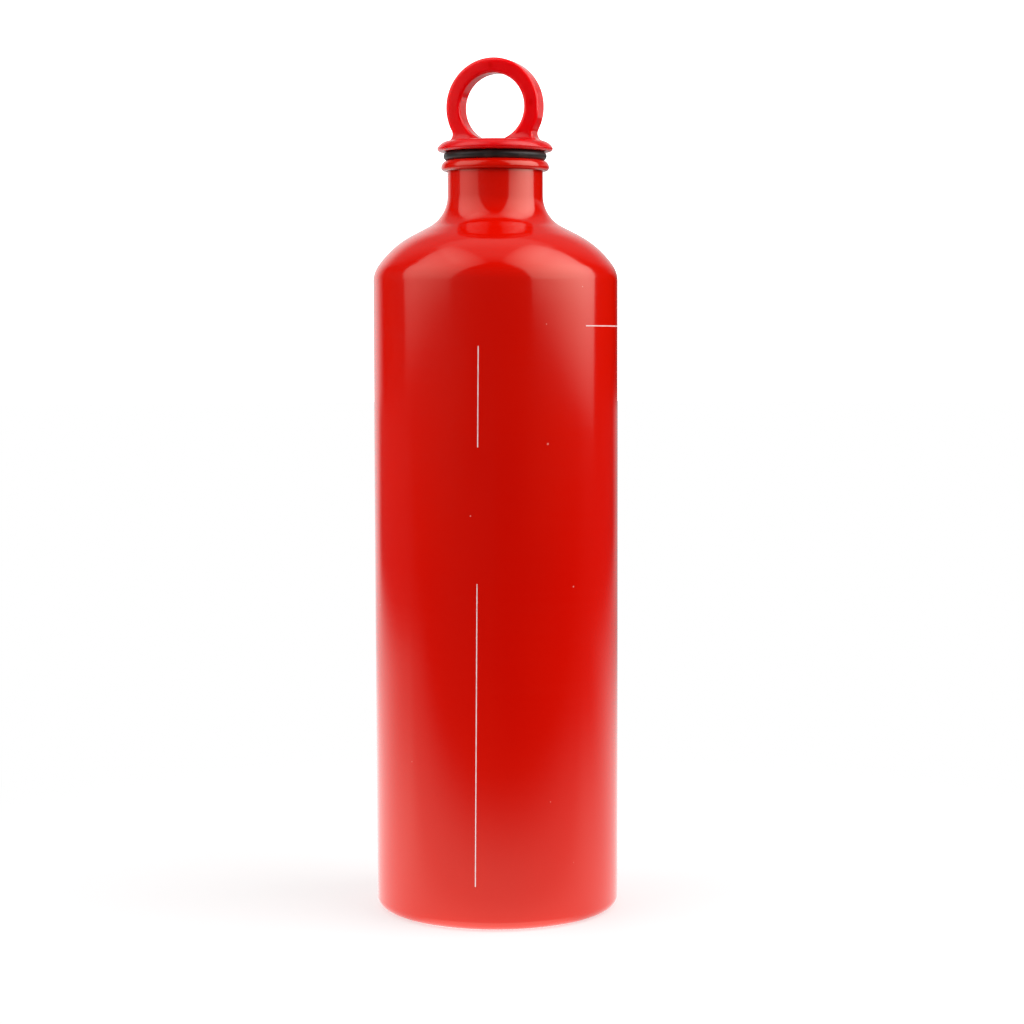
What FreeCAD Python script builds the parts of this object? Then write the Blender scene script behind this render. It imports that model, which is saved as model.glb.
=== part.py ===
"""Refillable aluminium fuel bottle with a screw-in ring cap.

Millimetres, +Z up.  The origin is the centre of the standing ring under the base, and the hole
of the carrying ring runs along Y.
"""

import FreeCAD
import Part
import math
import os

Vector = FreeCAD.Vector

# Bottle shell, outside
body_diameter = 73.0
side_height = 188.6
base_corner_radius = 3.2
foot_width = 4.5
base_rise = 4.5
shoulder_edge_radius = 8.2
shoulder_edge_turn = 34.7
shoulder_lean = 62.7
shoulder_cone_length = 5.4
neck_fillet_radius = 10.4
neck_diameter = 28.5
neck_length = 7.1

# Bottle shell, inside
wall = 0.92
base_thickness = 1.3
base_inner_corner_radius = 2.6

# Rolled lip round the mouth
lip_height = 3.2
lip_overhang = 1.85
lip_under_radius = 1.1
mouth_flat_width = 1.25

# Screw thread shared by the neck insert and the plug, right-handed
thread_pitch = 3.0
thread_depth = 1.0
thread_root_width = 1.6
thread_crest_width = 0.7
thread_radial_clearance = 0.25
thread_axial_clearance = 0.25

# Threaded insert bonded inside the neck
insert_length = 11.5
insert_setback = 0.4
insert_wall = 1.2
insert_chamfer = 0.5

# Squeezed sealing ring between the mouth and the cap
seal_height = 2.6
seal_width = 2.85
seal_contact_width = 1.0
seal_fit_gap = 0.1

# Cap flange
flange_diameter = 34.4
flange_height = 3.1
flange_rim_height = 1.05
flange_rim_radius = 0.9
flange_top_diameter = 29.0
flange_slope_bow = 0.4

# Plug under the flange
spigot_mouth_gap = 0.3
plug_length = 15.7
plug_wall = 2.5
plug_core_end_thickness = 3.4
plug_lead = 1.2
plug_thread_mouth_gap = 2.0
plug_nose_chamfer = 0.8

# Carrying ring on top of the cap
ring_hole_diameter = 19.9
ring_radial_width = 4.55
ring_thickness = 6.5
ring_edge_radius = 0.9
ring_flange_gap = 0.1
ring_root_fillet = 2.3

# Places and radii that follow from the sizes above
body_radius = body_diameter / 2
neck_radius = neck_diameter / 2
neck_inner_radius = neck_radius - wall
edge_turn = math.radians(shoulder_edge_turn)
lean = math.radians(shoulder_lean)

shoulder_broad_radius = (
    body_radius
    - neck_radius
    - shoulder_edge_radius * (1 - math.cos(edge_turn))
    - shoulder_cone_length * math.sin(lean)
    - neck_fillet_radius * (1 - math.cos(lean))
) / (math.cos(edge_turn) - math.cos(lean))
shoulder_height = (
    shoulder_edge_radius * math.sin(edge_turn)
    + shoulder_broad_radius * (math.sin(lean) - math.sin(edge_turn))
    + shoulder_cone_length * math.cos(lean)
    + neck_fillet_radius * math.sin(lean)
)
neck_start_z = side_height + shoulder_height
lip_bottom_z = neck_start_z + neck_length
mouth_z = lip_bottom_z + lip_height
mouth_flat_radius = neck_inner_radius + mouth_flat_width
lip_radius = neck_radius + lip_overhang

insert_top_z = mouth_z - insert_setback
insert_bottom_z = insert_top_z - insert_length
insert_root_radius = neck_inner_radius - insert_wall
insert_crest_radius = insert_root_radius - thread_depth
plug_crest_radius = insert_root_radius - thread_radial_clearance
plug_root_radius = insert_crest_radius - thread_radial_clearance

seal_mid_radius = neck_inner_radius + mouth_flat_width / 2
seal_inner_radius = seal_mid_radius - seal_width / 2
flange_under_z = mouth_z + seal_height
flange_top_z = flange_under_z + flange_height
flange_radius = flange_diameter / 2
spigot_radius = seal_inner_radius - seal_fit_gap
plug_bottom_z = flange_under_z - plug_length
plug_core_radius = plug_root_radius - plug_wall
plug_core_end_z = flange_top_z - plug_core_end_thickness

ring_hole_radius = ring_hole_diameter / 2
ring_outer_radius = ring_hole_radius + ring_radial_width
ring_centre = Vector(0, 0, flange_top_z + ring_flange_gap + ring_hole_radius)

thread_zero_z = plug_bottom_z + plug_lead + thread_root_width / 2
plug_thread_height = mouth_z - plug_thread_mouth_gap - thread_root_width / 2 - thread_zero_z


class Outline:
    """A closed outline of lines and arcs, drawn as (radius, height) pairs in the XZ plane."""

    def __init__(self, radius, height):
        self.start = Vector(radius, 0, height)
        self.here = self.start
        self.edges = []

    def line(self, radius, height):
        end = Vector(radius, 0, height)
        if end.distanceToPoint(self.here) > 1e-7:
            self.edges.append(Part.LineSegment(self.here, end).toShape())
        self.here = end

    def arc(self, centre_radius, centre_height, arc_radius, from_turn, to_turn):
        """An arc about a centre, between two angles in radians measured from the +radius direction."""

        def point(turn):
            return Vector(
                centre_radius + arc_radius * math.cos(turn), 0, centre_height + arc_radius * math.sin(turn)
            )

        self.line(point(from_turn).x, point(from_turn).z)
        middle = point((from_turn + to_turn) / 2)
        self.edges.append(Part.Arc(self.here, middle, point(to_turn)).toShape())
        self.here = point(to_turn)

    def arc_through(self, via_radius, via_height, radius, height):
        end = Vector(radius, 0, height)
        self.edges.append(Part.Arc(self.here, Vector(via_radius, 0, via_height), end).toShape())
        self.here = end

    def revolve(self, centre=Vector(0, 0, 0), axis=Vector(0, 0, 1)):
        self.line(self.start.x, self.start.z)
        face = Part.Face(Part.Wire(self.edges))
        return face.revolve(centre, axis, 360)


def shoulder_inward(outline, inset):
    """The shoulder from the straight side up to the neck, set in by a wall thickness."""
    edge_radius = shoulder_edge_radius - inset
    broad_radius = shoulder_broad_radius - inset
    fillet_radius = neck_fillet_radius + inset
    edge_centre = (body_radius - shoulder_edge_radius, side_height)
    reach = shoulder_edge_radius - shoulder_broad_radius
    broad_centre = (
        edge_centre[0] + reach * math.cos(edge_turn),
        edge_centre[1] + reach * math.sin(edge_turn),
    )
    fillet_centre = (neck_radius + neck_fillet_radius, neck_start_z)
    outline.arc(*edge_centre, edge_radius, 0, edge_turn)
    outline.arc(*broad_centre, broad_radius, edge_turn, lean)
    outline.arc(*fillet_centre, fillet_radius, math.pi + lean, math.pi)


def shoulder_outward(outline, inset):
    """The same shoulder drawn from the neck back down to the straight side."""
    trace = Outline(body_radius - inset, side_height)
    shoulder_inward(trace, inset)
    for edge in reversed(trace.edges):
        first, last = edge.Vertexes[0].Point, edge.Vertexes[-1].Point
        start, end = (first, last) if first.z > last.z else (last, first)
        middle = edge.valueAt((edge.FirstParameter + edge.LastParameter) / 2)
        outline.line(start.x, start.z)
        if isinstance(edge.Curve, Part.Line):
            outline.line(end.x, end.z)
        else:
            outline.arc_through(middle.x, middle.z, end.x, end.z)


def make_bottle_shell():
    """The one-piece drawn shell: domed base, straight side, shoulder, neck and rolled lip."""
    foot_outer = body_radius - base_corner_radius
    foot_inner = foot_outer - foot_width
    dome_radius = (foot_inner**2 + base_rise**2) / (2 * base_rise)
    dome_half_turn = math.asin(foot_inner / dome_radius) / 2
    via_radius = dome_radius * math.sin(dome_half_turn)
    via_rise = base_rise - dome_radius * (1 - math.cos(dome_half_turn))
    inner_radius = body_radius - wall

    shell = Outline(0, base_rise)
    shell.arc_through(via_radius, via_rise, foot_inner, 0)
    shell.line(foot_outer, 0)
    shell.arc(foot_outer, base_corner_radius, base_corner_radius, -math.pi / 2, 0)
    shell.line(body_radius, side_height)
    shoulder_inward(shell, 0)
    shell.line(neck_radius, lip_bottom_z)

    under_centre = (lip_radius - lip_under_radius, lip_bottom_z + lip_under_radius)
    shell.arc(*under_centre, lip_under_radius, -math.pi / 2, 0)
    drop = mouth_z - under_centre[1]
    inset = lip_radius - mouth_flat_radius
    top_radius = (drop**2 + inset**2) / (2 * inset)
    top_turn = math.asin(drop / top_radius)
    shell.arc(lip_radius - top_radius, under_centre[1], top_radius, 0, top_turn)
    shell.line(neck_inner_radius, mouth_z)

    shell.line(neck_inner_radius, neck_start_z)
    shoulder_outward(shell, wall)
    corner = base_inner_corner_radius
    shell.arc(inner_radius - corner, base_thickness + corner, corner, 0, -math.pi / 2)
    shell.line(foot_inner, base_thickness)
    shell.arc_through(via_radius, via_rise + base_thickness, 0, base_rise + base_thickness)
    return shell.revolve()


def thread_sweep(inner_radius, outer_radius, inner_width, outer_width, start_z, height):
    """A solid of trapezoid section wound right-handed about Z from start_z, at angle 0, upwards."""
    helix = Part.makeLongHelix(thread_pitch, height, inner_radius, 0)
    corners = [
        Vector(inner_radius, 0, -inner_width / 2),
        Vector(outer_radius, 0, -outer_width / 2),
        Vector(outer_radius, 0, outer_width / 2),
        Vector(inner_radius, 0, inner_width / 2),
    ]
    section = Part.makePolygon(corners + corners[:1])
    wound = Part.Wire(helix.Edges).makePipeShell([section], True, True)
    wound.translate(Vector(0, 0, start_z))
    return wound


def ridge_width(radius):
    """Axial width of the plug's thread ridge at a radius, its flanks carried on past root and crest."""
    taper = (thread_root_width - thread_crest_width) / (plug_crest_radius - plug_root_radius)
    return thread_root_width - taper * (radius - plug_root_radius)


def make_neck_thread_insert():
    """A turned ring, bonded into the neck, that carries the female thread."""
    ring = Outline(insert_crest_radius, insert_bottom_z)
    outer = neck_inner_radius
    ring.line(outer, insert_bottom_z)
    ring.line(outer, insert_top_z)
    ring.line(insert_crest_radius + insert_chamfer, insert_top_z)
    ring.line(insert_crest_radius, insert_top_z - insert_chamfer)
    blank = ring.revolve()

    overrun = thread_radial_clearance
    groove_inner = insert_crest_radius - overrun
    groove_outer = insert_root_radius
    gap = 2 * thread_axial_clearance
    turns_below = math.ceil((thread_zero_z - insert_bottom_z) / thread_pitch) + 1
    groove_start = thread_zero_z - turns_below * thread_pitch
    turns = math.ceil((insert_top_z - groove_start) / thread_pitch) + 1
    groove = thread_sweep(
        groove_inner,
        groove_outer,
        ridge_width(groove_inner) + gap,
        ridge_width(groove_outer) + gap,
        groove_start,
        turns * thread_pitch,
    )
    return blank.cut(groove)


def make_cap_seal_ring():
    """The rubber ring, squeezed to a flat where it meets the mouth and the flange."""
    half_contact = seal_contact_width / 2
    half_width = seal_width / 2
    middle_z = mouth_z + seal_height / 2
    ring = Outline(seal_mid_radius - half_contact, mouth_z)
    ring.line(seal_mid_radius + half_contact, mouth_z)
    ring.arc_through(seal_mid_radius + half_width, middle_z, seal_mid_radius + half_contact, flange_under_z)
    ring.line(seal_mid_radius - half_contact, flange_under_z)
    ring.arc_through(seal_mid_radius - half_width, middle_z, seal_mid_radius - half_contact, mouth_z)
    return ring.revolve()


def make_flange_and_plug():
    """The turned form of the cap: domed flange, sealing spigot and cored plug."""
    rim_z = flange_under_z + flange_rim_height
    top_radius = flange_top_diameter / 2
    spigot_z = mouth_z + spigot_mouth_gap
    form = Outline(0, flange_top_z)
    form.line(top_radius, flange_top_z)
    slope_run = flange_radius - top_radius
    slope_drop = flange_top_z - rim_z
    slope_length = math.hypot(slope_run, slope_drop)
    bow_radius = (top_radius + flange_radius) / 2 + flange_slope_bow * slope_drop / slope_length
    bow_z = (flange_top_z + rim_z) / 2 + flange_slope_bow * slope_run / slope_length
    form.arc_through(bow_radius, bow_z, flange_radius, rim_z)
    form.line(flange_radius, flange_under_z + flange_rim_radius)
    rim_centre = flange_radius - flange_rim_radius
    form.arc(rim_centre, flange_under_z + flange_rim_radius, flange_rim_radius, 0, -math.pi / 2)
    form.line(spigot_radius, flange_under_z)
    form.line(spigot_radius, spigot_z)
    form.line(plug_root_radius, spigot_z)
    form.line(plug_root_radius, plug_bottom_z + plug_nose_chamfer)
    form.line(plug_root_radius - plug_nose_chamfer, plug_bottom_z)
    form.line(plug_core_radius, plug_bottom_z)
    form.line(plug_core_radius, plug_core_end_z)
    form.line(0, plug_core_end_z)
    return form.revolve()


def make_carrying_ring():
    """The round eye on top of the cap, with rounded edges, about an axis along Y."""
    half = ring_thickness / 2
    edge = ring_edge_radius
    section = Outline(ring_hole_radius, half - edge)
    section.line(ring_hole_radius, -half + edge)
    section.arc(ring_hole_radius + edge, -half + edge, edge, math.pi, math.pi * 1.5)
    section.arc(ring_outer_radius - edge, -half + edge, edge, -math.pi / 2, 0)
    section.arc(ring_outer_radius - edge, half - edge, edge, 0, math.pi / 2)
    section.arc(ring_hole_radius + edge, half - edge, edge, math.pi / 2, math.pi)
    ring = section.revolve()
    ring.rotate(Vector(0, 0, 0), Vector(1, 0, 0), 90)
    ring.translate(ring_centre)
    above = Part.makeBox(4 * ring_outer_radius, 4 * ring_outer_radius, 4 * ring_outer_radius)
    above.translate(Vector(-2 * ring_outer_radius, -2 * ring_outer_radius, flange_under_z + flange_rim_height))
    return ring.common(above)


def lies_on(edge, shape):
    """Whether an edge runs along the outside of a shape for its whole length."""
    span = edge.LastParameter - edge.FirstParameter
    points = [edge.valueAt(edge.FirstParameter + span * share) for share in (0, 0.2, 0.45, 0.7, 1)]
    return all(shape.Shells[0].distToShape(Part.Vertex(point))[0] < 1e-4 for point in points)


def make_screw_cap():
    """The moulded cap: flange, plug, thread ridge and carrying ring in one piece."""
    flange = make_flange_and_plug()
    ring = make_carrying_ring()
    top = flange.fuse(ring).removeSplitter()
    roots = [edge for edge in top.Edges if lies_on(edge, flange) and lies_on(edge, ring)]
    top = top.makeFillet(ring_root_fillet, roots)
    ridge = thread_sweep(
        plug_root_radius - thread_radial_clearance,
        plug_crest_radius,
        ridge_width(plug_root_radius - thread_radial_clearance),
        thread_crest_width,
        thread_zero_z,
        plug_thread_height,
    )
    return top.fuse(ridge)


def main():
    os.makedirs("parts", exist_ok=True)
    pieces = {
        "bottle_shell": make_bottle_shell(),
        "neck_thread_insert": make_neck_thread_insert(),
        "cap_seal_ring": make_cap_seal_ring(),
        "screw_cap": make_screw_cap(),
    }
    for name, shape in pieces.items():
        solid = shape.Solids[0]
        print(name, len(shape.Solids), shape.isValid(), round(solid.Volume, 2), shape.BoundBox)
        solid.exportStep(f"parts/{name}.step")


main()
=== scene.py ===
"""Looks of a lacquered fuel bottle: shell, printed rules, cap, sealing ring, neck insert and studio."""

import math
from typing import NamedTuple

import bpy
from bpy.props import FloatProperty, FloatVectorProperty, IntProperty, PointerProperty
from mathutils import Matrix, Vector


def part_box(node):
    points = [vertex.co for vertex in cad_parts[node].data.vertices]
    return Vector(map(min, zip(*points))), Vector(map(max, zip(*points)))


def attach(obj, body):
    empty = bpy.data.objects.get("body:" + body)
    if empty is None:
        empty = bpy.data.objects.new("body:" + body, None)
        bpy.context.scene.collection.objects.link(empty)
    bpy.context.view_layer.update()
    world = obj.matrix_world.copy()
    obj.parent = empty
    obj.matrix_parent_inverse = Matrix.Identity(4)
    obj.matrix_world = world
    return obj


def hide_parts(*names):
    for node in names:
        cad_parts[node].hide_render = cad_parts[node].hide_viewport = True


bl_info = {
    "name": "Fuel Bottle",
    "version": (1, 0, 0),
    "blender": (4, 5, 0),
    "location": "3D View > Sidebar > Fuel Bottle",
    "description": "Dresses the packed fuel bottle and sets up its studio",
    "category": "Object",
}

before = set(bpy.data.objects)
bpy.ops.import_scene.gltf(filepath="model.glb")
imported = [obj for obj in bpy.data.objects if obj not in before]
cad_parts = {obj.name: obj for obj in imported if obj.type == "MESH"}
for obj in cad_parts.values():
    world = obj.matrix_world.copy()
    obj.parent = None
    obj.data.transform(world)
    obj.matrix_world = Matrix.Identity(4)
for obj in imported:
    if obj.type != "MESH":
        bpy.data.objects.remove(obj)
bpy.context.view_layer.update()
shell_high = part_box("bottle_shell")[1]
MM = 0.001
MICRON = 1e-6
SMOOTH_ANGLE = math.radians(35)


def length(name, description, millimetres):
    """A length property, written in millimetres and kept in metres."""
    return FloatProperty(
        name=name, description=description, default=millimetres * MM, min=0.0, unit="LENGTH", precision=5
    )


def colour(name, description, red, green, blue):
    """A linear colour property."""
    return FloatVectorProperty(
        name=name,
        description=description,
        subtype="COLOR",
        size=3,
        min=0.0,
        max=1.0,
        default=(red, green, blue),
    )


def turn(name, description, degrees):
    """An angle property, written in degrees and kept in radians."""
    return FloatProperty(name=name, description=description, default=math.radians(degrees), subtype="ANGLE")


def light_level(name, description, value):
    """A brightness property, as a share of white."""
    return FloatProperty(name=name, description=description, default=value, min=0.0)


class BottleShape(bpy.types.PropertyGroup):
    """Sizes of the shell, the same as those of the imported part."""

    body_radius: length("Body radius", "Outside radius of the straight side", shell_high.x / MM)
    mouth_height: length("Mouth height", "Height of the lip's flat top", shell_high.z / MM)
    side_height: length("Side height", "Where the shoulder starts", 188.6)
    wall: length("Wall", "Thickness of the drawn wall", 0.92)
    base_corner: length("Base corner", "Radius round the foot", 3.2)
    foot_width: length("Foot width", "Width of the flat standing ring", 4.5)
    base_rise: length("Base rise", "How far the base domes inwards", 4.5)
    base_thickness: length("Base thickness", "Thickness of the domed base", 1.3)
    inner_corner: length("Inner corner", "Radius inside the foot", 2.6)
    shoulder_edge: length("Shoulder edge", "Radius where the side turns into the shoulder", 8.2)
    shoulder_edge_turn: turn("Shoulder edge turn", "How far the edge radius turns", 34.7)
    shoulder_lean: turn("Shoulder lean", "Steepest lean of the shoulder from upright", 62.7)
    shoulder_cone: length("Shoulder cone", "Straight run below the neck fillet", 5.4)
    neck_fillet: length("Neck fillet", "Hollow radius at the foot of the neck", 10.4)
    neck_radius: length("Neck radius", "Outside radius of the neck", 14.25)
    lip_height: length("Lip height", "Height of the rolled lip", 3.2)
    lip_overhang: length("Lip overhang", "How far the lip stands out from the neck", 1.85)
    lip_under: length("Lip under radius", "Radius of the lip's lower edge", 1.1)
    mouth_flat: length("Mouth flat", "Width of the flat that the seal sits on", 1.25)
    lathe_steps: IntProperty(name="Lathe steps", description="Facets round the shell", default=224, min=24)


class BottlePrint(bpy.types.PropertyGroup):
    """Places and sizes of the printed rules, with angles from the front, positive to the right."""

    rule_width: length("Rule width", "Width of each printed rule", 0.29)
    ink_height: length("Ink height", "How far the ink stands proud", 0.03)
    lean: turn("Lean", "How far the print leans to the right", 0.55)
    upper_turn: turn("Upper rule turn", "Place of the upper upright rule's middle", -8.08)
    upper_low: length("Upper rule foot", "Lower end of the upper upright rule", 140.9)
    upper_high: length("Upper rule head", "Upper end of the upper upright rule", 169.8)
    lower_turn: turn("Lower rule turn", "Place of the lower upright rule's middle", -9.5)
    lower_low: length("Lower rule foot", "Lower end of the lower upright rule", 13.3)
    lower_high: length("Lower rule head", "Upper end of the lower upright rule", 101.6)
    level_height: length("Level rule height", "Height of the level rule's middle", 175.19)
    level_start: turn("Level rule start", "Left end of the level rule", 45.7)
    level_end: turn("Level rule end", "Right end of the level rule", 116.0)


class BottleFinish(bpy.types.PropertyGroup):
    """Colours of the materials."""

    lacquer: colour("Lacquer", "Red lacquer on the shell", 0.56, 0.0027, 0.0)
    lacquer_light: colour("Lacquer, light", "Lighter patches of the lacquer", 0.58, 0.0036, 0.0)
    speck: colour("Speck", "Dust caught in the lacquer", 0.80, 0.45, 0.40)
    ink: colour("Ink", "Pale printing ink", 0.78, 0.68, 0.68)
    cap: colour("Cap", "Red moulded plastic", 0.63, 0.002, 0.004)
    rubber: colour("Rubber", "Black sealing rubber", 0.013, 0.009, 0.008)
    aluminium: colour("Aluminium", "Bare metal of the insert and the inside", 0.80, 0.80, 0.81)
    table: colour("Table", "Pale table top", 0.90, 0.90, 0.90)


class BottleStudio(bpy.types.PropertyGroup):
    """Camera and lights."""

    camera_turn: turn("Camera turn", "Camera's place round the bottle, from the ring's own front", 19.0)
    camera_distance: length("Camera distance", "Level distance from the bottle's axis", 731.06)
    camera_height: length("Camera height", "Height of the lens above the table", 177.64)
    camera_pitch: turn("Camera pitch", "How far the camera looks down", 4.551)
    camera_swing: turn("Camera swing", "How far the camera looks past the axis to the right", 0.371)
    camera_roll: turn("Camera roll", "Tilt of the frame", -0.167)
    lens: FloatProperty(name="Lens", description="Focal length in millimetres", default=85.6, min=10.0)
    left_light: light_level("Left light", "Brightness of the left softbox", 1.65)
    right_light: light_level("Right light", "Brightness of the right softbox", 3.5)
    top_light: light_level("Top light", "Brightness of the panel overhead", 0.375)
    cap_light: light_level("Cap light", "Brightness of the small gridded light beside the cap", 0.175)
    room_light: light_level("Room light", "Level of the even light of the room", 1.3)
    table_light: light_level("Table light", "Level of the table beside the bottle", 1.13)
    table_radius: length("Table radius", "Radius of the round table top", 4500.0)


class BottleSettings(bpy.types.PropertyGroup):
    """All settings of the fuel bottle."""

    shape: PointerProperty(type=BottleShape)
    print_marks: PointerProperty(type=BottlePrint)
    finish: PointerProperty(type=BottleFinish)
    studio: PointerProperty(type=BottleStudio)


def new_material(name):
    """An empty node material with an output, as (material, node tree, principled shader)."""
    material = bpy.data.materials.new(name)
    material.use_nodes = True
    tree = material.node_tree
    tree.nodes.clear()
    output = tree.nodes.new("ShaderNodeOutputMaterial")
    shader = tree.nodes.new("ShaderNodeBsdfPrincipled")
    tree.links.new(shader.outputs["BSDF"], output.inputs["Surface"])
    return material, tree, shader


def node(tree, kind, sockets=None, **settings):
    """Adds a node, sets its options, and sets or links its inputs."""
    made = tree.nodes.new(kind)
    for name, value in settings.items():
        setattr(made, name, value)
    for key, value in (sockets or {}).items():
        if isinstance(value, bpy.types.NodeSocket):
            tree.links.new(value, made.inputs[key])
        else:
            made.inputs[key].default_value = value
    return made


def object_coordinates(tree):
    """Places in the piece's own coordinates, in metres."""
    return node(tree, "ShaderNodeTexCoord").outputs["Object"]


def stretched(tree, vector, scale):
    """A vector scaled per axis."""
    return node(tree, "ShaderNodeMapping", {"Vector": vector, "Scale": scale}).outputs["Vector"]


def noise(tree, place, repeats, detail=2.0, roughness=0.5):
    """Noise from 0 to 1, with its repeats per metre along each axis."""
    vector = stretched(tree, place, repeats)
    sockets = {"Vector": vector, "Scale": 1.0, "Detail": detail, "Roughness": roughness}
    return node(tree, "ShaderNodeTexNoise", sockets).outputs["Fac"]


def math_node(tree, operation, first, second=0.0):
    """One calculation on two numbers or sockets."""
    return node(tree, "ShaderNodeMath", {0: first, 1: second}, operation=operation).outputs[0]


def product(tree, first, second):
    return math_node(tree, "MULTIPLY", first, second)


def remaining(tree, share):
    """What a share leaves of the whole."""
    return math_node(tree, "SUBTRACT", 1.0, share)


def vector_length(tree, vector):
    return node(tree, "ShaderNodeVectorMath", {0: vector}, operation="LENGTH").outputs["Value"]


def vector_from(tree, place, origin):
    """The way from an origin to a place."""
    return node(tree, "ShaderNodeVectorMath", {0: place, 1: origin}, operation="SUBTRACT").outputs[0]


def along(tree, vector, axis):
    """How far a vector reaches along an axis."""
    return node(tree, "ShaderNodeVectorMath", {0: vector, 1: axis}, operation="DOT_PRODUCT").outputs["Value"]


def between(tree, value, low, high, to_low=0.0, to_high=1.0):
    """A smooth step from one value to another."""
    sockets = {"Value": value, "From Min": low, "From Max": high, "To Min": to_low, "To Max": to_high}
    made = node(tree, "ShaderNodeMapRange", sockets, interpolation_type="SMOOTHSTEP")
    return made.outputs["Result"]


def mix_colour(tree, factor, first, second):
    """A colour between two, each a colour or a socket, by a factor from 0 to 1."""
    made = node(tree, "ShaderNodeMix", data_type="RGBA")
    for socket, value in zip((made.inputs[0], made.inputs[6], made.inputs[7]), (factor, first, second)):
        if isinstance(value, bpy.types.NodeSocket):
            tree.links.new(value, socket)
        elif isinstance(value, (int, float)):
            socket.default_value = value
        else:
            socket.default_value = (*value, 1.0)
    return made.outputs[2]


def bump(tree, height, distance, strength=1.0, normal=None):
    """A normal tilted by a height from 0 to 1 that stands for a distance in metres."""
    sockets = {"Height": height, "Distance": distance, "Strength": strength}
    if normal is not None:
        sockets["Normal"] = normal
    return node(tree, "ShaderNodeBump", sockets).outputs["Normal"]


def lacquer_material(finish):
    """Glossy red lacquer over a spun shell: fine level lines, slight peel, a few dust specks."""
    material, tree, shader = new_material("red_lacquer")
    place = object_coordinates(tree)
    patches = noise(tree, place, (22, 22, 14))
    red = mix_colour(tree, between(tree, patches, 0.35, 0.7), finish.lacquer, finish.lacquer_light)

    cells_per_metre = 150.0
    empty_cells = 0.6
    smallest, largest = 0.02, 0.05
    speck_cover = 0.4
    cells = node(tree, "ShaderNodeTexVoronoi", {"Vector": place, "Scale": cells_per_metre, "Randomness": 1.0})
    chosen = node(tree, "ShaderNodeSeparateColor", {"Color": cells.outputs["Color"]})
    rare = math_node(tree, "GREATER_THAN", chosen.outputs["Red"], empty_cells)
    size = between(tree, chosen.outputs["Green"], 0.0, 1.0, smallest, largest)
    near = math_node(tree, "LESS_THAN", cells.outputs["Distance"], size)
    specks = product(tree, rare, near)
    shade = mix_colour(tree, product(tree, specks, speck_cover), red, finish.speck)
    tree.links.new(shade, shader.inputs["Base Color"])

    lines = noise(tree, place, (25, 25, 2600), detail=3.0, roughness=0.6)
    peel = noise(tree, place, (420, 420, 420))
    gloss = between(tree, lines, 0.25, 0.75, to_low=0.10, to_high=0.14)
    tree.links.new(gloss, shader.inputs["Roughness"])
    relief = bump(tree, lines, 1.6 * MICRON)
    relief = bump(tree, peel, 4 * MICRON, normal=relief)
    relief = bump(tree, specks, 20 * MICRON, strength=0.6, normal=relief)
    tree.links.new(relief, shader.inputs["Normal"])
    shader.inputs["IOR"].default_value = 1.6
    shader.inputs["Specular Tint"].default_value = (1.0, 0.98, 0.8, 1.0)
    return material


def aluminium_material(finish):
    """Bare turned aluminium with fine lines round the axis."""
    material, tree, shader = new_material("bare_aluminium")
    place = object_coordinates(tree)
    lines = noise(tree, place, (40, 40, 4200), detail=3.0, roughness=0.6)
    dull = noise(tree, place, (90, 90, 60), detail=3.0)
    dark = tuple(0.72 * value for value in finish.aluminium)
    tree.links.new(mix_colour(tree, dull, dark, finish.aluminium), shader.inputs["Base Color"])
    gloss = between(tree, lines, 0.2, 0.8, to_low=0.26, to_high=0.42)
    tree.links.new(gloss, shader.inputs["Roughness"])
    tree.links.new(bump(tree, lines, 3 * MICRON), shader.inputs["Normal"])
    shader.inputs["Metallic"].default_value = 1.0
    return material


# Two oval marks on the ring, across from its middle and below its top, in millimetres
PIN_MARKS = ((-0.3, 2.3), (12.3, 13.6))
# One over the half width and the half height of a mark, per metre; its depth doesn't count
PIN_SCALE = (1100, 0, 700)


def cap_material(finish):
    """Moulded red plastic that red light soaks through, with painted shade on the flange, a parting line and
    two pin marks on the ring.
    """
    material, tree, shader = new_material("moulded_cap_plastic")
    place = object_coordinates(tree)
    axes = node(tree, "ShaderNodeSeparateXYZ", {"Vector": place})
    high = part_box("screw_cap")[1]
    ring_only = between(tree, axes.outputs["Z"], high.z - 24.5 * MM, high.z - 20.5 * MM)
    off_middle = math_node(tree, "ABSOLUTE", axes.outputs["Y"])
    on_line = between(tree, off_middle, 0.05 * MM, 0.14 * MM, to_low=1.0, to_high=0.0)
    parting = product(tree, on_line, ring_only)
    pins = 0.0
    for across, below in PIN_MARKS:
        arm = vector_from(tree, place, (across * MM, 0, high.z - below * MM))
        reach = vector_length(tree, stretched(tree, arm, PIN_SCALE))
        pins = math_node(tree, "MAXIMUM", between(tree, reach, 0.3, 1.0, to_low=1.0, to_high=0.0), pins)

    flow = noise(tree, place, (70, 70, 70))
    light = tuple(min(1.0, 1.04 * value) for value in finish.cap)
    # Painted shade: the flange is a tenth darker red than the ring, which is left at the full cap colour
    painted_shade_red = tuple(0.9 * value for value in finish.cap)
    pin_red = (0.92 * finish.cap[0], 0.0, 0.0)
    red = mix_colour(tree, ring_only, painted_shade_red, mix_colour(tree, flow, finish.cap, light))
    tree.links.new(mix_colour(tree, pins, red, pin_red), shader.inputs["Base Color"])

    satin = between(tree, ring_only, 0.0, 1.0, to_low=0.11, to_high=0.0)
    gloss = between(tree, flow, 0.3, 0.7, to_low=0.09, to_high=0.12)
    tree.links.new(math_node(tree, "ADD", gloss, satin), shader.inputs["Roughness"])
    relief = bump(tree, flow, 10 * MICRON)
    relief = bump(tree, parting, 20 * MICRON, strength=0.6, normal=relief)
    tree.links.new(relief, shader.inputs["Normal"])
    shader.inputs["IOR"].default_value = 1.5
    shader.inputs["Subsurface Weight"].default_value = 0.9
    shader.inputs["Subsurface Radius"].default_value = (4 * MM, 0.5 * MM, 0.4 * MM)
    shader.inputs["Subsurface Scale"].default_value = 1.0
    return material


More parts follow.
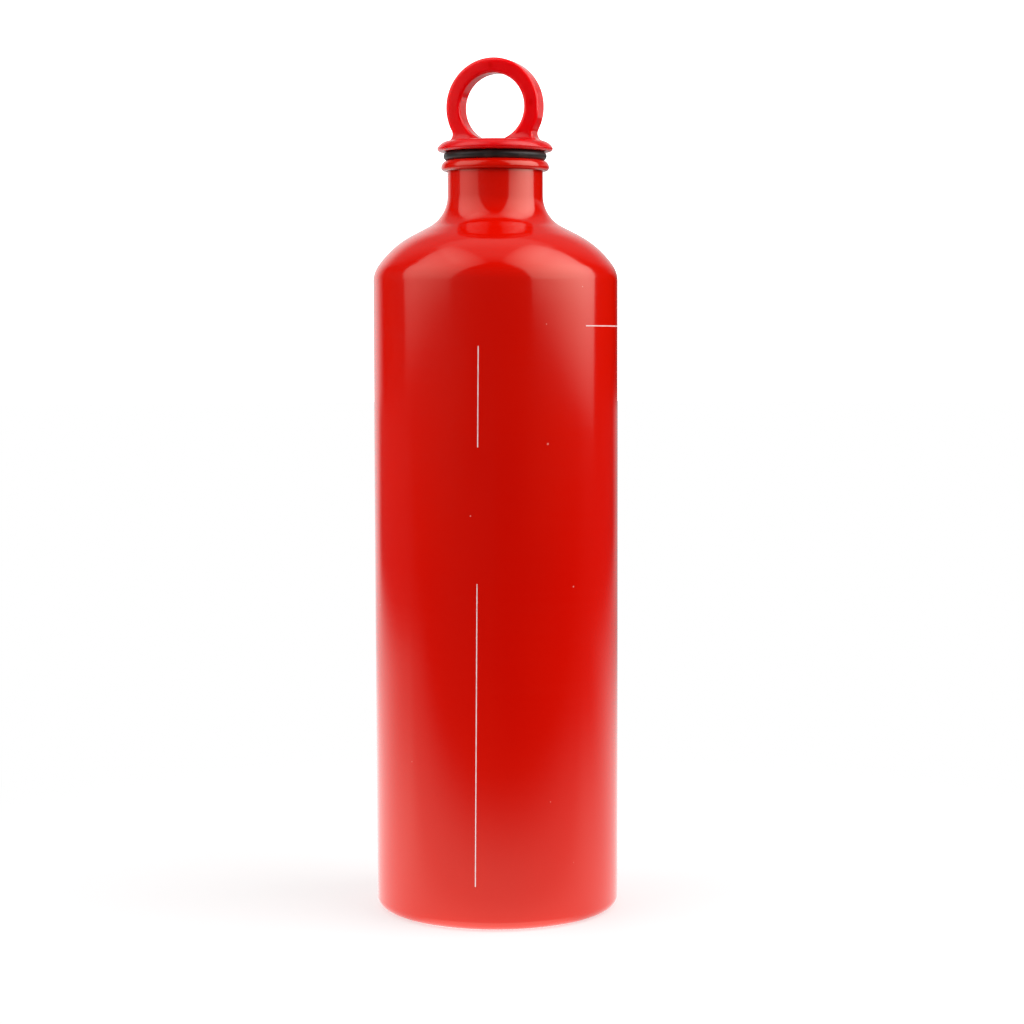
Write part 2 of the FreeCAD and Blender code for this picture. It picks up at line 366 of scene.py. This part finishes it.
def rubber_material(finish):
    """Satin black rubber with a faint bloom and a mould line round its outside."""
    material, tree, shader = new_material("seal_rubber")
    place = object_coordinates(tree)
    axes = node(tree, "ShaderNodeSeparateXYZ", {"Vector": place})
    low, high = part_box("cap_seal_ring")
    above_middle = math_node(tree, "SUBTRACT", axes.outputs["Z"], (low.z + high.z) / 2)
    off_middle = math_node(tree, "ABSOLUTE", above_middle)
    flash = between(tree, off_middle, 0.06 * MM, 0.16 * MM, to_low=1.0, to_high=0.0)
    bloom = noise(tree, place, (300, 300, 500), detail=4.0, roughness=0.6)
    grey = tuple(3.0 * value for value in finish.rubber)
    black = mix_colour(tree, between(tree, bloom, 0.45, 0.75), finish.rubber, grey)
    tree.links.new(black, shader.inputs["Base Color"])
    gloss = between(tree, bloom, 0.3, 0.7, to_low=0.36, to_high=0.5)
    tree.links.new(gloss, shader.inputs["Roughness"])
    relief = bump(tree, noise(tree, place, (1800, 1800, 1800)), 6 * MICRON)
    relief = bump(tree, flash, 30 * MICRON, strength=0.7, normal=relief)
    tree.links.new(relief, shader.inputs["Normal"])
    return material


def ink_material(finish):
    """Pale screen-printed ink, a little thin in places, so that the lacquer tints it."""
    material, tree, shader = new_material("printing_ink")
    place = object_coordinates(tree)
    cover = noise(tree, place, (900, 900, 900), detail=3.0, roughness=0.6)
    thin = tuple(0.75 * ink + 0.25 * red for ink, red in zip(finish.ink, finish.lacquer))
    pale = mix_colour(tree, between(tree, cover, 0.3, 0.6), thin, finish.ink)
    tree.links.new(pale, shader.inputs["Base Color"])
    gloss = between(tree, cover, 0.3, 0.7, to_low=0.34, to_high=0.46)
    tree.links.new(gloss, shader.inputs["Roughness"])
    tree.links.new(bump(tree, cover, 5 * MICRON), shader.inputs["Normal"])
    return material


def start_vertex(name, place):
    """A new object in edit mode with one selected vertex at a place."""
    bpy.ops.object.select_all(action="DESELECT")
    bpy.ops.mesh.primitive_plane_add(size=MM)
    piece = bpy.context.object
    piece.name = name
    piece.data.name = name
    bpy.ops.object.mode_set(mode="EDIT")
    bpy.ops.mesh.select_all(action="SELECT")
    bpy.ops.mesh.merge(type="CENTER")
    bpy.ops.transform.translate(value=place)
    return piece


def draw_on(points):
    """Extrudes the selected vertex from point to point."""
    for start, end in zip(points, points[1:]):
        bpy.ops.mesh.extrude_vertices_move(TRANSFORM_OT_translate={"value": Vector(end) - Vector(start)})


def turn_faces_out():
    """Turns every face of the active piece outwards, from edit mode."""
    bpy.ops.mesh.select_all(action="SELECT")
    bpy.ops.mesh.normals_make_consistent(inside=False)


def spin_about_axis(angle, steps):
    """Spins everything about the bottle's axis, anticlockwise from above, and closes seam and poles."""
    bpy.ops.mesh.select_all(action="SELECT")
    bpy.ops.mesh.spin(steps=steps, angle=-angle, center=(0, 0, 0), axis=(0, 0, 1))
    bpy.ops.mesh.select_all(action="SELECT")
    bpy.ops.mesh.remove_doubles(threshold=MICRON)
    turn_faces_out()
    bpy.ops.object.mode_set(mode="OBJECT")


def apply_modifier(piece, kind, **settings):
    """Adds a modifier to the active piece and applies it."""
    modifier = piece.modifiers.new(kind.lower(), kind)
    for name, value in settings.items():
        setattr(modifier, name, value)
    bpy.ops.object.modifier_apply(modifier=modifier.name)


def arc_points(centre, radius, start, end, count):
    """Points (radius, height) along an arc in so many steps, both ends included."""
    turns = [start + (end - start) * step / count for step in range(count + 1)]
    return [(centre[0] + radius * math.cos(t), centre[1] + radius * math.sin(t)) for t in turns]


def shoulder_points(shape, inset):
    """The shoulder from the side up to the neck, set in by a wall thickness."""
    edge, lean = shape.shoulder_edge_turn, shape.shoulder_lean
    broad = (
        shape.body_radius
        - shape.neck_radius
        - shape.shoulder_edge * (1 - math.cos(edge))
        - shape.shoulder_cone * math.sin(lean)
        - shape.neck_fillet * (1 - math.cos(lean))
    ) / (math.cos(edge) - math.cos(lean))
    neck_start = (
        shape.side_height
        + shape.shoulder_edge * math.sin(edge)
        + broad * (math.sin(lean) - math.sin(edge))
        + shape.shoulder_cone * math.cos(lean)
        + shape.neck_fillet * math.sin(lean)
    )
    first = (shape.body_radius - shape.shoulder_edge, shape.side_height)
    reach = shape.shoulder_edge - broad
    second = (first[0] + reach * math.cos(edge), first[1] + reach * math.sin(edge))
    third = (shape.neck_radius + shape.neck_fillet, neck_start)
    return (
        arc_points(first, shape.shoulder_edge - inset, 0, edge, count=10)
        + arc_points(second, broad - inset, edge, lean, count=14)[1:]
        + arc_points(third, shape.neck_fillet + inset, math.pi + lean, math.pi, count=16)
    )


def shell_outline(shape):
    """The shell's half section, from the underside of the base round to the inside of it."""
    quarter = math.pi / 2
    foot_outer = shape.body_radius - shape.base_corner
    foot_inner = foot_outer - shape.foot_width
    dome = (foot_inner**2 + shape.base_rise**2) / (2 * shape.base_rise)
    half = math.asin(foot_inner / dome)
    under = arc_points((0, shape.base_rise - dome), dome, quarter, quarter - half, count=14)
    corner = arc_points((foot_outer, shape.base_corner), shape.base_corner, -quarter, 0, count=12)
    side_steps = 24
    rise = (shape.side_height - shape.base_corner) / side_steps
    side = [(shape.body_radius, shape.base_corner + rise * step) for step in range(1, side_steps)]

    neck, mouth = shape.neck_radius, shape.mouth_height
    lip_bottom = mouth - shape.lip_height
    lip_radius = neck + shape.lip_overhang
    roll_centre = (lip_radius - shape.lip_under, lip_bottom + shape.lip_under)
    roll = arc_points(roll_centre, shape.lip_under, -quarter, 0, count=8)
    flat_radius = neck - shape.wall + shape.mouth_flat
    drop, inset = mouth - roll_centre[1], lip_radius - flat_radius
    top = (drop**2 + inset**2) / (2 * inset)
    crown = arc_points((lip_radius - top, roll_centre[1]), top, 0, math.asin(drop / top), count=12)
    # Offsets from the neck and from the lip's lower edge, for the fine groove under the roll
    groove = ((0.0, -0.2), (0.04, 0.4), (0.35, 0.05))
    crease = [(neck + out * MM, lip_bottom + up * MM) for out, up in groove]
    bore = neck - shape.wall
    edge = 0.25 * MM
    mouth_edge = arc_points((bore + edge, mouth - edge), edge, quarter, math.pi, count=5)

    outside = shoulder_points(shape, 0)
    inside = list(reversed(shoulder_points(shape, shape.wall)))
    inner = shape.body_radius - shape.wall
    inner_centre = (inner - shape.inner_corner, shape.base_thickness + shape.inner_corner)
    inner_corner = arc_points(inner_centre, shape.inner_corner, 0, -quarter, count=8)
    floor = [(radius, height + shape.base_thickness) for radius, height in reversed(under)]
    outer_face = under + corner + side + outside + crease + roll + crown[1:] + mouth_edge
    return outer_face + inside + inner_corner + floor


class BOTTLE_OT_shell(bpy.types.Operator):
    """Spin the lacquered shell from its half section, with bare metal inside"""

    bl_idname = "fuel_bottle.shell"
    bl_label = "Lacquered Shell"

    def execute(self, context):
        settings = context.scene.fuel_bottle
        shape = settings.shape
        points = [(radius, 0.0, height) for radius, height in shell_outline(shape)]
        shell = start_vertex("lacquered_shell", points[0])
        draw_on(points)
        spin_about_axis(math.tau, shape.lathe_steps)
        shell.data.materials.append(lacquer_material(settings.finish))
        shell.data.materials.append(aluminium_material(settings.finish))
        lowest_middle = 20 * MM
        lip_foot = shape.mouth_height - 1.2 * shape.lip_height
        bore_edge = shape.neck_radius - 0.9 * shape.wall
        for face in shell.data.polygons:
            middle = Vector((0, 0, min(max(face.center.z, lowest_middle), shape.side_height)))
            lacquered_lip = face.center.z > lip_foot and face.center.xy.length > bore_edge
            inside = face.normal.dot(middle - face.center) > 0 and not lacquered_lip
            face.material_index = 1 if inside else 0
        bpy.ops.object.shade_smooth_by_angle(angle=SMOOTH_ANGLE)
        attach(shell, "bottle")
        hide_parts("bottle_shell")
        return {"FINISHED"}


class BOTTLE_OT_printed_rules(bpy.types.Operator):
    """Lay the thin printed rules on the shell"""

    bl_idname = "fuel_bottle.printed_rules"
    bl_label = "Printed Rules"

    def execute(self, context):
        settings = context.scene.fuel_bottle
        marks, radius = settings.print_marks, settings.shape.body_radius
        front = settings.studio.camera_turn - math.pi / 2
        ink = ink_material(settings.finish)
        upright_steps, level_steps = 8, 48

        def upright(middle, low, high):
            """Points (angle, height) up a rule that leans with the print, and the way to its other edge."""
            rise = high - low
            points = []
            for step in range(upright_steps + 1):
                height = rise * (step / upright_steps - 0.5)
                angle = middle + height * math.tan(marks.lean) / radius
                points.append((front + angle, low + rise / 2 + height))
            tangent = front + middle + math.pi / 2
            return points, Vector((math.cos(tangent), math.sin(tangent), 0))

        def level(start, end, height):
            """Points round a level rule that sinks with the print's lean, and the way to its other edge."""
            points = []
            for step in range(level_steps + 1):
                angle = (end - start) * (step / level_steps - 0.5)
                sunk = height - angle * radius * math.tan(marks.lean)
                points.append((front + (start + end) / 2 + angle, sunk))
            return points, Vector((0, 0, 1))

        rules = {
            "upper_rule": upright(marks.upper_turn, marks.upper_low, marks.upper_high),
            "lower_rule": upright(marks.lower_turn, marks.lower_low, marks.lower_high),
            "level_rule": level(marks.level_start, marks.level_end, marks.level_height),
        }
        for name, (points, across) in rules.items():
            edge = across * marks.rule_width / 2
            line = [Vector((radius * math.cos(t), radius * math.sin(t), z)) - edge for t, z in points]
            rule = start_vertex(name, line[0])
            draw_on(line)
            bpy.ops.mesh.select_all(action="SELECT")
            bpy.ops.mesh.extrude_region_move(TRANSFORM_OT_translate={"value": 2 * edge})
            bpy.ops.object.mode_set(mode="OBJECT")
            apply_modifier(rule, "SOLIDIFY", thickness=2 * marks.ink_height, offset=0.0)
            bpy.ops.object.mode_set(mode="EDIT")
            turn_faces_out()
            bpy.ops.object.mode_set(mode="OBJECT")
            rule.data.materials.append(ink)
            bpy.ops.object.shade_smooth_by_angle(angle=SMOOTH_ANGLE)
            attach(rule, "bottle")
        return {"FINISHED"}


class BOTTLE_OT_cap(bpy.types.Operator):
    """Finish the moulded cap"""

    bl_idname = "fuel_bottle.cap"
    bl_label = "Screw Cap"

    def execute(self, context):
        finish = context.scene.fuel_bottle.finish
        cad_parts["screw_cap"].material_slots[0].material = cap_material(finish)
        return {"FINISHED"}


class BOTTLE_OT_seal(bpy.types.Operator):
    """Finish the rubber ring between the lip and the cap"""

    bl_idname = "fuel_bottle.seal"
    bl_label = "Sealing Ring"

    def execute(self, context):
        finish = context.scene.fuel_bottle.finish
        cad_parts["cap_seal_ring"].material_slots[0].material = rubber_material(finish)
        return {"FINISHED"}


class BOTTLE_OT_insert(bpy.types.Operator):
    """Finish the threaded ring inside the neck"""

    bl_idname = "fuel_bottle.insert"
    bl_label = "Thread Insert"

    def execute(self, context):
        finish = context.scene.fuel_bottle.finish
        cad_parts["neck_thread_insert"].material_slots[0].material = aluminium_material(finish)
        return {"FINISHED"}


class Softbox(NamedTuple):
    """A rectangular light, in metres and degrees.

    stand and aim are (turn round the bottle from the camera, distance from its axis, height).
    across and upwards are (position, share) pairs, from -1 to 1 over the lit face.
    spread is the width of the beam, which a grid on the light narrows.
    """

    name: str
    brightness: str
    stand: tuple
    aim: tuple
    roll: float
    width: float
    height: float
    across: tuple
    upwards: tuple
    spread: float = 180.0


EVEN = ((-1.0, 1.0), (1.0, 1.0))
SOFTBOXES = (
    Softbox(
        name="left_softbox",
        brightness="left_light",
        stand=(-69.3, 0.467, 0.618),
        aim=(-69.3, 0.0, 0.358),
        roll=4.5,
        width=0.66,
        height=1.042,
        across=((-1.0, 0.72), (-0.5, 1.0), (0.0, 0.96), (0.5, 0.76), (1.0, 0.5)),
        upwards=((-1.0, 0.05), (-0.88, 0.57), (-0.46, 0.87), (0.03, 1.0), (0.5, 0.8), (1.0, 0.18)),
    ),
    Softbox(
        name="right_softbox",
        brightness="right_light",
        stand=(71.8, 0.43, 0.837),
        aim=(71.8, 0.0, 0.716),
        roll=-4.6,
        width=0.86,
        height=1.442,
        across=((-1.0, 0.35), (-0.5, 0.64), (0.0, 0.93), (0.3, 1.0), (0.5, 1.0), (1.0, 0.65)),
        upwards=((-1.0, 0.05), (-0.88, 0.85), (-0.46, 1.0), (-0.2, 0.93), (0.5, 0.45), (1.0, 0.12)),
    ),
    Softbox(
        name="top_panel",
        brightness="top_light",
        stand=(180, 0.105, 2.0),
        aim=(180, 0.1, 0.1),
        roll=0,
        width=1.9,
        height=1.5,
        across=EVEN,
        upwards=((-1.0, 0.6), (-0.5, 0.9), (0.0, 1.0), (0.5, 0.95), (1.0, 0.1)),
    ),
    Softbox(
        name="cap_strip",
        brightness="cap_light",
        stand=(130, 0.1, 0.25),
        aim=(130, 0.0, 0.2864),
        roll=0,
        width=0.095,
        height=0.042,
        across=EVEN,
        upwards=EVEN,
        spread=90,
    ),
)


def glow(tree, strength):
    """A white emitter of a strength that is a number or a socket."""
    return node(tree, "ShaderNodeEmission", {"Color": (1, 1, 1, 1), "Strength": strength}).outputs[0]


def seen_directly(tree, path):
    """1 for what the camera looks at, straight or through something clear, and 0 in all other light."""
    return math_node(tree, "MAXIMUM", path.outputs["Is Camera Ray"], path.outputs["Is Transmission Ray"])


def add_softbox(box, brightness, place, target):
    """Adds a softbox that faces a target and fades across its width and up its height."""
    light = bpy.data.lights.new(box.name, "AREA")
    light.shape = "RECTANGLE"
    light.size, light.size_y = box.width, box.height
    light.energy = brightness * math.pi * box.width * box.height
    light.spread = math.radians(box.spread)
    made = bpy.data.objects.new(box.name, light)
    bpy.context.scene.collection.objects.link(made)
    facing = (target - place).to_track_quat("-Z", "Y").to_matrix().to_4x4()
    turned = facing @ Matrix.Rotation(math.radians(box.roll), 4, "Z")
    made.matrix_world = Matrix.Translation(place) @ turned
    made.visible_camera = False

    light.use_nodes = True
    tree = light.node_tree
    tree.nodes.clear()
    arm = vector_from(tree, node(tree, "ShaderNodeNewGeometry").outputs["Position"], place)
    shares = []
    sides = ((turned.col[0], box.width, box.across), (turned.col[1], box.height, box.upwards))
    for axis, size, fade in sides:
        sockets = {"Value": along(tree, arm, axis.xyz), "From Min": -size / 2, "From Max": size / 2}
        even = node(tree, "ShaderNodeMapRange", sockets).outputs["Result"]
        ramp = node(tree, "ShaderNodeValToRGB", {"Fac": even})
        while len(ramp.color_ramp.elements) < len(fade):
            ramp.color_ramp.elements.new(0.5)
        for element, (position, level) in zip(ramp.color_ramp.elements, fade):
            element.position = (position + 1) / 2
            element.color = (level, level, level, 1)
        shares.append(ramp.outputs["Color"])
    output = node(tree, "ShaderNodeOutputLight")
    tree.links.new(glow(tree, product(tree, *shares)), output.inputs["Surface"])


# The table's light. Ranges are metres from the bottle's axis, and facing runs from -1 behind it to 1 ahead.
SIDE_BLEND = (-0.15, 0.15)
WHITE_REACH, WHITE_SHARES = (0.06, 0.27), (0.55, 1.0)
FALL_REACH, FALL_BY_SIDE = (0.1, 0.7), (0.36, 0.67)
FOOT_REACH, FOOT_FACING, FOOT_GAIN = (0.0385, 0.043), (0.6, 1.0), 1.7
NEAR_AHEAD, NEAR_AHEAD_SHARE = (0.015, 0.08), 0.67
FAR_AHEAD, FAR_AHEAD_SHARE = (0.07, 0.29), 0.06
SHADE_REACH, SHADE_FACING, SHADE_BY_SIDE = (0.03, 0.5), (-0.7, 0.0), (0.45, 0.85)
FAR_ASIDE, FAR_ASIDE_SHADE = (0.38, 0.8), 0.92
FAR_ASIDE_FACING, FAR_ASIDE_SHIFT_BY_SIDE = (-0.95, -0.78), (0.06, 0.0)
MIRROR_BY_SIDE = (1.3, 1.0)
SOFT_RISE, SOFT_GAIN = (0.045, 0.09), 1.3
SOFT_FALL, SOFT_FALL_SHARE = (0.15, 0.4), 0.77
SOFT_BY_SIDE = (0.74, 1.2)


def table_material(settings, towards, right):
    """A pale table that keeps the bottle's shadow for the camera and glows for all other light.

    It glows beside the bottle and behind it, and is dark far ahead and far aside.
    """
    material, tree, shader = new_material("pale_table")
    place = object_coordinates(tree)
    mottle = noise(tree, place, (60, 60, 60), detail=3.0)
    dull = tuple(0.985 * value for value in settings.finish.table)
    tree.links.new(mix_colour(tree, mottle, dull, settings.finish.table), shader.inputs["Base Color"])
    shader.inputs["Roughness"].default_value = 0.7

    reach = vector_length(tree, place)
    ahead = along(tree, place, towards)
    aside = along(tree, place, right)
    closest = 10 * MM
    facing = math_node(tree, "DIVIDE", ahead, math_node(tree, "MAXIMUM", reach, closest))

    def by_side(values):
        """One value left of the bottle and another right of it."""
        return between(tree, aside, *SIDE_BLEND, *values)

    # Falls off away from the bottle, but is bright at the foot of its front
    loss = product(tree, between(tree, reach, *FALL_REACH), by_side(FALL_BY_SIDE))
    lit = product(tree, remaining(tree, loss), settings.studio.table_light)
    foot = product(tree, between(tree, reach, *FOOT_REACH, 1.0, 0.0), between(tree, facing, *FOOT_FACING))
    lit = product(tree, lit, between(tree, foot, 0.0, 1.0, 1.0, FOOT_GAIN))
    lit = product(tree, lit, between(tree, ahead, *NEAR_AHEAD, 1.0, NEAR_AHEAD_SHARE))

    # Is shaded towards the camera and past both sides, but not straight behind the bottle
    shade = product(tree, between(tree, reach, *SHADE_REACH), between(tree, facing, *SHADE_FACING))
    shade = product(tree, shade, by_side(SHADE_BY_SIDE))
    off_side = between(tree, math_node(tree, "ABSOLUTE", aside), *FAR_ASIDE, 0.0, FAR_ASIDE_SHADE)
    shifted = math_node(tree, "SUBTRACT", facing, by_side(FAR_ASIDE_SHIFT_BY_SIDE))
    off_side = product(tree, off_side, between(tree, shifted, *FAR_ASIDE_FACING))
    lit = product(tree, lit, remaining(tree, math_node(tree, "MAXIMUM", shade, off_side)))
    lit = product(tree, lit, by_side(MIRROR_BY_SIDE))
    lit = product(tree, lit, between(tree, ahead, *FAR_AHEAD, 1.0, FAR_AHEAD_SHARE))

    # Lights matt surfaces by a share of its own
    rise = between(tree, reach, *SOFT_RISE, 1.0, SOFT_GAIN)
    soft = product(tree, rise, between(tree, reach, *SOFT_FALL, 1.0, SOFT_FALL_SHARE))
    soft = product(tree, soft, by_side(SOFT_BY_SIDE))
    path = node(tree, "ShaderNodeLightPath")
    lit = product(tree, lit, math_node(tree, "POWER", soft, path.outputs["Is Diffuse Ray"]))

    whitened = between(tree, reach, *WHITE_REACH, *WHITE_SHARES)
    shown = node(tree, "ShaderNodeMixShader", {0: whitened, 1: shader.outputs[0], 2: glow(tree, 1.0)})
    sockets = {0: seen_directly(tree, path), 1: glow(tree, lit), 2: shown.outputs[0]}
    surface = node(tree, "ShaderNodeMixShader", sockets)
    tree.links.new(surface.outputs[0], tree.nodes["Material Output"].inputs["Surface"])
    material.cycles.emission_sampling = "NONE"
    return material


# The room's light, over shares of a direction's unit vector
BACKDROP_EDGE, BACKDROP_LEAN = (0.5, 1.2), 0.5
BACKDROP_DIM, BACKDROP_DIM_RISE, BACKDROP_DIM_SHIFT = (-0.65, 0.2), (-0.02, 0.22), (-0.2, 0.12)
BACKDROP_TOP, BACKDROP_BEHIND = (0.35, 0.80), (0.0, 0.3)
CEILING_NEAR, CEILING_LEVEL = (0.707, 0.906), 0.23
SLOPE_LEAST = 0.05
ROOM_RIGHT_SHARE, ROOM_LEFT_SHARE = 0.78, 1.9
ROOM_LOW_SHARE, ROOM_HIGH_SHARE = 1.15, 0.1
CAMERA_SIDE, CAMERA_SIDE_SHARE = (-0.95, -0.78), 0.4


class BOTTLE_OT_studio(bpy.types.Operator):
    """Set up the pale table, the softboxes, the room and the camera"""

    bl_idname = "fuel_bottle.studio"
    bl_label = "Studio"

    def execute(self, context):
        settings = context.scene.fuel_bottle
        studio = settings.studio
        towards = Vector((math.sin(studio.camera_turn), -math.cos(studio.camera_turn), 0))
        right = Vector((math.cos(studio.camera_turn), math.sin(studio.camera_turn), 0))

        def around(degrees, distance, height):
            """A place round the bottle, turned to the right from the camera's side."""
            angle = math.radians(degrees)
            flat = (towards * math.cos(angle) + right * math.sin(angle)) * distance
            return Vector((flat.x, flat.y, height))

        self.table(context, settings, towards, right)
        self.room(context, studio, around)
        for box in SOFTBOXES:
            add_softbox(box, getattr(studio, box.brightness), around(*box.stand), around(*box.aim))

        camera = bpy.data.objects.new("camera", bpy.data.cameras.new("camera"))
        context.scene.collection.objects.link(camera)
        camera.data.lens = studio.lens
        turned = Matrix.Rotation(studio.camera_turn - studio.camera_swing, 4, "Z")
        tipped = Matrix.Rotation(math.pi / 2 - studio.camera_pitch, 4, "X")
        rolled = Matrix.Rotation(studio.camera_roll, 4, "Z")
        place = Matrix.Translation(towards * studio.camera_distance + Vector((0, 0, studio.camera_height)))
        camera.matrix_world = place @ turned @ tipped @ rolled
        camera.data.clip_start = 0.01
        context.scene.camera = camera
        context.scene.view_settings.view_transform = "Standard"
        return {"FINISHED"}

    def table(self, context, settings, towards, right):
        """A thin round table top under the bottle."""
        bpy.ops.object.select_all(action="DESELECT")
        bpy.ops.mesh.primitive_circle_add(vertices=160, radius=settings.studio.table_radius, fill_type="NGON")
        table = context.object
        table.name = "table_top"
        bpy.ops.object.mode_set(mode="EDIT")
        bpy.ops.mesh.select_all(action="SELECT")
        bpy.ops.mesh.extrude_region_move(TRANSFORM_OT_translate={"value": (0, 0, -2 * MM)})
        turn_faces_out()
        bpy.ops.object.mode_set(mode="OBJECT")
        table.data.materials.append(table_material(settings, towards, right))

    def room(self, context, studio, around):
        """A white room for the camera; in reflections it is white behind the bottle and dark in front."""
        world = context.scene.world or bpy.data.worlds.new("room")
        context.scene.world = world
        world.use_nodes = True
        world.cycles.sampling_method = "NONE"
        tree = world.node_tree
        tree.nodes.clear()
        direction = node(tree, "ShaderNodeTexCoord").outputs["Generated"]
        leftward = along(tree, direction, around(-90, 1.0, 0.0))
        behind = along(tree, direction, around(180, 1.0, 0.0))
        upward = along(tree, direction, Vector((0, 0, 1)))
        high_behind = along(tree, direction, around(180, 0.707, 0.707))

        # The backdrop behind the bottle, which ends on the left, dims to the right and fades upwards
        slope = math_node(tree, "DIVIDE", leftward, math_node(tree, "MAXIMUM", behind, SLOPE_LEAST))
        leaning = math_node(tree, "ADD", slope, product(tree, upward, BACKDROP_LEAN))
        shift = between(tree, upward, *BACKDROP_DIM_RISE, *BACKDROP_DIM_SHIFT)
        dimmed = between(tree, math_node(tree, "ADD", leftward, shift), *BACKDROP_DIM)
        sides = product(tree, between(tree, leaning, *BACKDROP_EDGE, 1.0, 0.0), dimmed)
        top = between(tree, upward, *BACKDROP_TOP, 1.0, 0.0)
        heights = product(tree, top, between(tree, behind, *BACKDROP_BEHIND))
        ceiling = between(tree, high_behind, *CEILING_NEAR, 0.0, CEILING_LEVEL)
        backdrop = math_node(tree, "MAXIMUM", product(tree, sides, heights), ceiling)

        # Even light for matt surfaces, stronger from the left and from low down
        left_level, right_level = ROOM_LEFT_SHARE * studio.room_light, ROOM_RIGHT_SHARE * studio.room_light
        sideways = between(tree, leftward, -1.0, 1.0, right_level, left_level)
        fading = between(tree, upward, 0.0, 1.0, ROOM_LOW_SHARE, ROOM_HIGH_SHARE)
        fading = product(tree, fading, between(tree, behind, *CAMERA_SIDE, CAMERA_SIDE_SHARE, 1.0))
        even = product(tree, sideways, fading)

        path = node(tree, "ShaderNodeLightPath")
        glossy = path.outputs["Is Glossy Ray"]
        scattered = product(tree, remaining(tree, glossy), even)
        unseen = math_node(tree, "ADD", product(tree, glossy, backdrop), scattered)
        level = math_node(tree, "MAXIMUM", seen_directly(tree, path), unseen)
        background = node(tree, "ShaderNodeBackground", {"Color": (1, 1, 1, 1), "Strength": level})
        output = node(tree, "ShaderNodeOutputWorld")
        tree.links.new(background.outputs["Background"], output.inputs["Surface"])


class BOTTLE_PT_panel(bpy.types.Panel):
    """Lists the steps that dress the bottle"""

    bl_idname = "BOTTLE_PT_panel"
    bl_label = "Fuel Bottle"
    bl_space_type = "VIEW_3D"
    bl_region_type = "UI"
    bl_category = "Fuel Bottle"

    def draw(self, context):
        settings = context.scene.fuel_bottle
        for step in STEPS:
            self.layout.operator(step.bl_idname)
        for group in (settings.shape, settings.print_marks, settings.finish, settings.studio):
            box = self.layout.box()
            for name in group.bl_rna.properties.keys():
                if name not in ("rna_type", "name"):
                    box.prop(group, name)


STEPS = (
    BOTTLE_OT_shell,
    BOTTLE_OT_printed_rules,
    BOTTLE_OT_cap,
    BOTTLE_OT_seal,
    BOTTLE_OT_insert,
    BOTTLE_OT_studio,
)
GROUPS = (BottleShape, BottlePrint, BottleFinish, BottleStudio, BottleSettings)
CLASSES = (*GROUPS, *STEPS, BOTTLE_PT_panel)


def register():
    for entry in CLASSES:
        bpy.utils.register_class(entry)
    bpy.types.Scene.fuel_bottle = PointerProperty(type=BottleSettings)


def unregister():
    del bpy.types.Scene.fuel_bottle
    for entry in reversed(CLASSES):
        bpy.utils.unregister_class(entry)


def main():
    register()
    bpy.ops.fuel_bottle.shell()
    bpy.ops.fuel_bottle.printed_rules()
    bpy.ops.fuel_bottle.cap()
    bpy.ops.fuel_bottle.seal()
    bpy.ops.fuel_bottle.insert()
    bpy.ops.fuel_bottle.studio()


if __name__ == "__main__":
    main()
